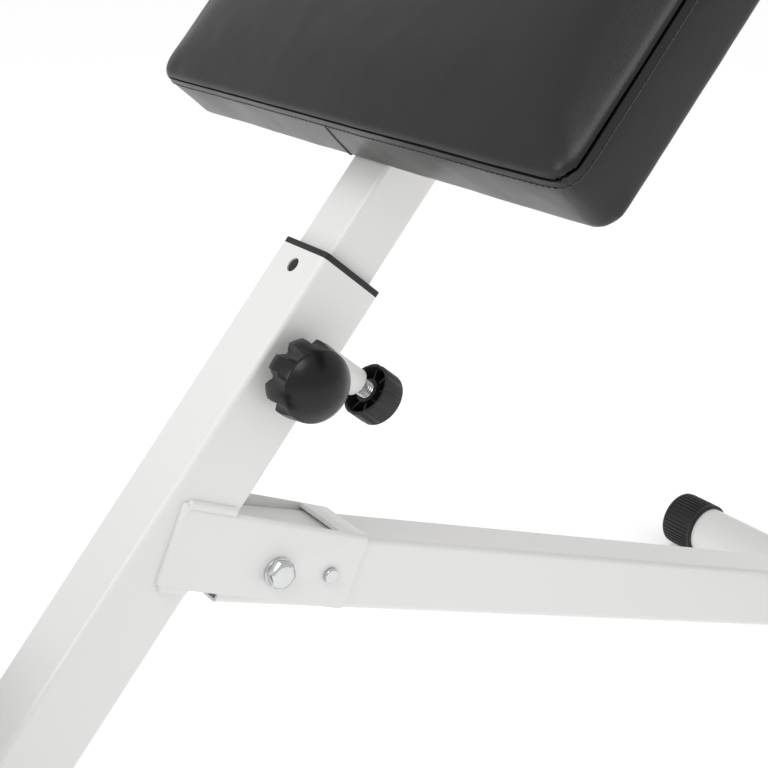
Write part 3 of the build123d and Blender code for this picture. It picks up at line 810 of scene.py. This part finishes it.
# Birch plywood, sawn and left raw: pale, with grain about 4 mm wide running across the bench.
board_wood, shader, place = new_material("plywood_sawn_raw", "C09A68", 0.68, ior=1.5)
grain_way = add_node(board_wood, "Mapping", {"Scale": (6.0, 1.0, 6.0)}, {"Vector": place})
wood_grain = add_node(board_wood, "TexNoise", {"Scale": 1000 / 24, "Detail": 5.0, "Distortion": 0.6},
                      {"Vector": grain_way.outputs["Vector"]})
wood_colours = add_node(board_wood, "ValToRGB", {}, {"Fac": wood_grain.outputs["Fac"]})
wood_colours.color_ramp.elements[0].color = linear("9F7848")
wood_colours.color_ramp.elements[0].position = 0.3
wood_colours.color_ramp.elements[1].color = linear("D0AE7C")
wood_colours.color_ramp.elements[1].position = 0.7
board_wood.node_tree.links.new(wood_colours.outputs["Color"], shader.inputs["Base Color"])
relief(board_wood, shader, wood_grain.outputs["Fac"], 0.1)
paint(board_wood, "pad_board")

# Vinyl on a knitted backing, calendered with a fine leather grain and a glossy top coat. The real grain cells
# of about 0.8 mm are drawn at 1.3 mm.
vinyl, shader, place = new_material("vinyl_calendered_glossy", "0D0D0D", 0.34, ior=1.43, coat_weight=0.1,
                                    coat_roughness=0.24)
spread(vinyl, place, 45, 0.3, 0.39, shader.inputs["Roughness"])
grain_cells = add_node(vinyl, "TexVoronoi", {"Scale": 1000 / 1.3, "feature": "DISTANCE_TO_EDGE"},
                       {"Vector": place})
grain_height = add_node(vinyl, "MapRange", {"From Min": 0.0, "From Max": 0.25, "To Min": 0.0, "To Max": 1.0},
                        {"Value": grain_cells.outputs["Distance"]})
grain_relief = relief(vinyl, shader, grain_height.outputs["Result"], 0.035)
stretch = add_node(vinyl, "TexNoise", {"Scale": 1000 / 38, "Detail": 2.0}, {"Vector": place})
relief(vinyl, shader, stretch.outputs["Fac"], 0.15, grain_relief)

pad_start, pad_end = reach("pad_cushion", along, clamp_at)
pad_half = reach("pad_cushion", across)[1]
pad_base, pad_top = reach("pad_cushion", above, clamp_at)
pad_middle = (pad_start + pad_end) / 2
half_length = (pad_end - pad_start) / 2
swell = 0.0008             # the walls start this far in, and the crown 4 mm low, for the foam to fill
crown = 0.004
panel_round = 0.0065
seam_rise = 0.0425         # seam of the top panel over the pad's base
seam_depth = 0.0020
seam_half = 0.0013
stitch_drop = 0.0055       # topstitch under the seam
pad_corner = 0.0135
pad_voxel = 0.005
travel_limit = 0.009
board_rim = 0.012          # the cover stands clear of the board, which it would touch underneath
board_recess = 0.004
base_held = 0.006          # the simulation holds the cover up to here, and at its seam, where it holds less
seam_held = 0.003
seam_weight = 0.9
smooth_from = 0.008
cover = block((pad_end - pad_start - 2 * swell, 2 * (pad_half - swell), pad_top - crown - pad_base),
              (pad_middle, 0, (pad_base + pad_top - crown) / 2))
bpy.ops.object.mode_set(mode="EDIT")
pick(cover, lambda middle: abs(middle.x - pad_middle) > 0.1 and abs(middle.y) > 0.1, "EDGE")
bpy.ops.mesh.bevel(offset=pad_corner, segments=5, affect="EDGES")
pick(cover, lambda middle: middle.z > pad_top - crown - 0.001, "FACE")
bpy.ops.mesh.bevel(offset=panel_round, segments=5, affect="EDGES")
bpy.ops.object.mode_set(mode="OBJECT")
melt(cover, pad_voxel)
free = cover.vertex_groups.new(name="free")
free.add([vertex.index for vertex in cover.data.vertices if vertex.co.z > pad_base + smooth_from], 1.0,
         "REPLACE")
held = cover.vertex_groups.new(name="held")
for vertex in cover.data.vertices:
    rise = vertex.co.z - pad_base
    weight = 1.0 if rise < base_held else seam_weight if abs(rise - seam_rise) < seam_held else 0.0
    if weight:
        held.add([vertex.index], weight, "REPLACE")
before = [vertex.co.copy() for vertex in cover.data.vertices]
bpy.ops.object.modifier_add(type="CLOTH")
cloth = cover.modifiers[-1]
cloth.settings.quality = 5
cloth.settings.mass = 0.3
cloth.settings.tension_stiffness = 15
cloth.settings.compression_stiffness = 15
cloth.settings.bending_stiffness = 4.0
cloth.settings.use_pressure = True
cloth.settings.uniform_pressure_force = 4
cloth.settings.vertex_group_mass = "held"
cloth.settings.effector_weights.gravity = 0
cloth.collision_settings.use_collision = False
cloth.point_cache.frame_end = 20
for step in range(1, 21):
    bpy.context.scene.frame_set(step)
bpy.ops.object.modifier_apply(modifier=cloth.name)
for vertex, start in zip(cover.data.vertices, before):
    moved = vertex.co - start
    if moved.length > travel_limit:
        vertex.co = start + moved * (travel_limit / moved.length)
bpy.context.scene.frame_set(1)
apply_modifier(cover, "SMOOTH", factor=0.5, iterations=9, vertex_group="free")
apply_modifier(cover, "SUBSURF", levels=1, render_levels=1)
solo(cover)
bpy.ops.object.mode_set(mode="EDIT")
for drop in (-seam_half, 0.0, seam_half):
    bpy.ops.mesh.select_all(action="SELECT")
    bpy.ops.mesh.bisect(plane_co=(0, 0, pad_base + seam_rise + drop), plane_no=(0, 0, 1))
pick(cover, lambda middle: abs(middle.z - pad_base - seam_rise) < 0.0002)
bpy.ops.transform.shrink_fatten(value=-seam_depth)
pick(cover, lambda middle: middle.z < pad_base + 0.001
     and abs(middle.x - pad_middle) < half_length - board_rim and abs(middle.y) < pad_half - board_rim)
bpy.ops.transform.translate(value=(0, 0, board_recess))
bpy.ops.object.mode_set(mode="OBJECT")
ease = bpy.data.textures.new("vinyl_ease", "CLOUDS")
ease.noise_scale = 0.045
apply_modifier(cover, "DISPLACE", texture=ease, strength=0.0009, mid_level=0.5)

# The topstitch: polyester thread in 3.4 mm stitches, laid where rays from outside meet the band.
stitch_length = 3.4
stitch_pitch = 4.3
thread_radius = 0.42
stitch_lift = 0.0001
ray_start = 0.030          # rays start this far outside the pad


def on_band(point, way):
    """Where a ray towards the pad meets its cover, with the cover's normal there."""
    hit, spot, normal, face = cover.ray_cast(point - way * ray_start, way)
    return (spot, normal) if hit else (point, -way)


def band_line(rise):
    """Points round the pad at a height over its base, one stitch apart, each with its way in and way on."""
    flat_x = half_length - pad_corner
    flat_y = pad_half - pad_corner
    middle = Vector((pad_middle, 0, pad_base + rise))
    line = []
    for x_way, y_way, length in ((0, -1, flat_x), (1, 0, flat_y), (0, 1, flat_x), (-1, 0, flat_y)):
        out = Vector((x_way, y_way, 0))
        run = Vector((-y_way, x_way, 0))
        count = int(2000 * length / stitch_pitch)
        for step in range(count):
            slide = -length + 2 * length * (step + 0.5) / count
            line.append((middle + out * (pad_half if y_way else half_length) + run * slide, -out, run))
        corner_at = middle + out * (flat_y if y_way else flat_x) + run * length
        turns = max(2, int(1000 * pad_corner * pi / 2 / stitch_pitch))
        for step in range(turns):
            turn = Matrix.Rotation(pi / 2 * (step + 0.5) / turns, 3, "Z")
            line.append((corner_at + (turn @ out) * pad_corner, -(turn @ out), turn @ run))
    return line


bpy.ops.object.select_all(action="DESELECT")
bpy.ops.mesh.primitive_cylinder_add(vertices=6, radius=thread_radius / 1000, depth=stitch_length / 1000,
                                    rotation=(0, pi / 2, 0))
stitch = bpy.context.object
bpy.ops.object.transform_apply(location=True, rotation=True, scale=True)
bpy.ops.object.mode_set(mode="EDIT")
pick(stitch, lambda middle: abs(middle.x) > 0.49 * stitch_length / 1000, "FACE")
bpy.ops.mesh.inset(thickness=0.00012, depth=0.0002)
bpy.ops.object.mode_set(mode="OBJECT")
seats = []
for point, way, run in band_line(seam_rise - stitch_drop):
    spot, normal = on_band(point, way)
    side_way = normal.cross(run).normalized()
    turn = Matrix((run, side_way, run.cross(side_way))).transposed().to_4x4()
    seats.append(Matrix.Translation(spot + normal * stitch_lift) @ turn)
stitches = strew(stitch, "stitches", seats)
settle(stitches, post_seat)

# The band's two ends lap on its lower side, in a slanting seam from the topstitch to the base.
lap_head = 0.001
lap_foot = 0.0135
lap_stop = 0.003           # it ends this far over the base
lap_beads = 60
lap_radius = 0.0011
lap_sink = 0.0003
lap_grain = 0.0004
bpy.ops.object.select_all(action="DESELECT")
bpy.ops.mesh.primitive_uv_sphere_add(segments=10, ring_count=6, radius=lap_radius)
lap_bead = bpy.context.object
seats = []
for step in range(lap_beads):
    down = step / (lap_beads - 1)
    point = Vector((pad_start, lap_head + (lap_foot - lap_head) * down,
                    pad_base + (seam_rise - stitch_drop) * (1 - down) + lap_stop * down))
    spot, normal = on_band(point, Vector((1, 0, 0)))
    seats.append(Matrix.Translation(spot - normal * lap_sink))
band_lap = strew(lap_bead, "band_lap", seats)
melt(band_lap, lap_grain)
settle(band_lap, post_seat)
fit(band_lap, "pad_band_lap", vinyl, "pad_slider", angle=60)

# Bonded polyester thread: black, with a dull silk lustre and a 0.3 mm twist.
thread, shader, place = new_material("polyester_thread_twisted", "161616", 0.55, ior=1.55, sheen_weight=0.3)
twist = add_node(thread, "TexWave", {"Scale": 1000 / 2, "Distortion": 1.0}, {"Vector": place})
relief(thread, shader, twist.outputs["Fac"], 0.05)
fit(stitches, "pad_topstitch", thread, "pad_slider", angle=60)

# The band's turned edge under the board: a flat hem of vinyl, and the staples that hold it.
hem_width = 0.023
hem_edge = 0.006
hem_thick = 0.0012
staple_pitch = 22.0
staple_line = 0.62         # the staples' place across the hem, as a share of its width
staple_margin = 0.025      # the rows start this far from the pad's corners
staple_tilts = (-0.25, 0.3, 0.3)
staple_size = (0.010, 0.0012, 0.0006)
hem = block((pad_end - pad_start - 2 * hem_edge, 2 * (pad_half - hem_edge), hem_thick),
            (pad_middle, 0, pad_base - hem_thick / 2 + 0.0001))
bpy.ops.object.mode_set(mode="EDIT")
pick(hem, lambda middle: abs(middle.x - pad_middle) > 0.1 and abs(middle.y) > 0.1, "EDGE")
bpy.ops.mesh.bevel(offset=pad_corner, segments=6, affect="EDGES")
bpy.context.tool_settings.mesh_select_mode = (False, False, True)
bpy.ops.mesh.select_all(action="DESELECT")
mesh = bmesh.from_edit_mesh(hem.data)
for face in mesh.faces:
    face.select_set(abs(face.normal.z) > 0.9)
bmesh.update_edit_mesh(hem.data)
bpy.ops.mesh.inset(thickness=hem_width)
bpy.ops.mesh.bridge_edge_loops()
bpy.ops.object.mode_set(mode="OBJECT")
soften(hem, 0.4, 2, 50)
settle(hem, post_seat)
fit(hem, "pad_hem", vinyl, "pad_slider")

staple = block(staple_size)
soften(staple, 0.2, 2)
seats = []
for lengthwise, length, out_reach in ((True, half_length, pad_half), (False, pad_half, half_length)):
    row = 2 * length - 2 * staple_margin
    row_at = out_reach - hem_width * staple_line
    count = int(row * 1000 / staple_pitch)
    for side in (-1, 1):
        for step in range(count):
            slide = -length + staple_margin + row * (step + 0.5) / count
            x_at, y_at = (slide, side * row_at) if lengthwise else (side * row_at, slide)
            turn = Matrix.Rotation(staple_tilts[step % 3] + (0 if lengthwise else pi / 2), 4, "Z")
            staple_at = (pad_middle + x_at, y_at, pad_base - hem_thick - 0.0001)
            seats.append(Matrix.Translation(staple_at) @ turn)
staples = strew(staple, "staples", seats)
settle(staples, post_seat)
fit(staples, "pad_staples", zinc_plate, "pad_slider")

settle(cover, post_seat)
fit(cover, "pad_cover", vinyl, "pad_slider", ["pad_cushion"], 60)

# ---- Studio: a pale floor, a white room and two softboxes ----
bpy.ops.object.select_all(action="DESELECT")
bpy.ops.mesh.primitive_circle_add(vertices=64, radius=60, fill_type="NGON", location=(0, 0, 0))
floor = bpy.context.object
floor.name = "floor"
floor_paint, shader, place = new_material("studio_floor_painted_matt", "FAFAFA", 0.8)
spread(floor_paint, place, 900, 0.75, 0.85, shader.inputs["Roughness"])
shader.inputs["Emission Color"].default_value = (1, 1, 1, 1)
shader.inputs["Emission Strength"].default_value = 0.32
floor.data.materials.append(floor_paint)

room = bpy.data.worlds.new("white_room")
room.use_nodes = True
room.node_tree.nodes["Background"].inputs["Color"].default_value = (1, 1, 1, 1)
room.node_tree.nodes["Background"].inputs["Strength"].default_value = 0.69
bpy.context.scene.world = room
bpy.context.scene.view_settings.view_transform = "Standard"


def softbox(name, turn, rise, distance, size, power):
    """A square softbox that faces the clamp screw, at a turn and rise in degrees and a distance in metres."""
    way = away(turn, rise)
    bpy.ops.object.light_add(type="AREA", location=clamp_at + way * distance)
    box = bpy.context.object
    box.name = name
    box.data.size = size
    box.data.energy = power
    box.rotation_mode = "QUATERNION"
    box.rotation_quaternion = way.to_track_quat("Z", "Y")


softbox("key_softbox", -65, 60, 2.6, 1.4, 19)
softbox("side_softbox", -103, 25, 2.4, 0.8, 8)
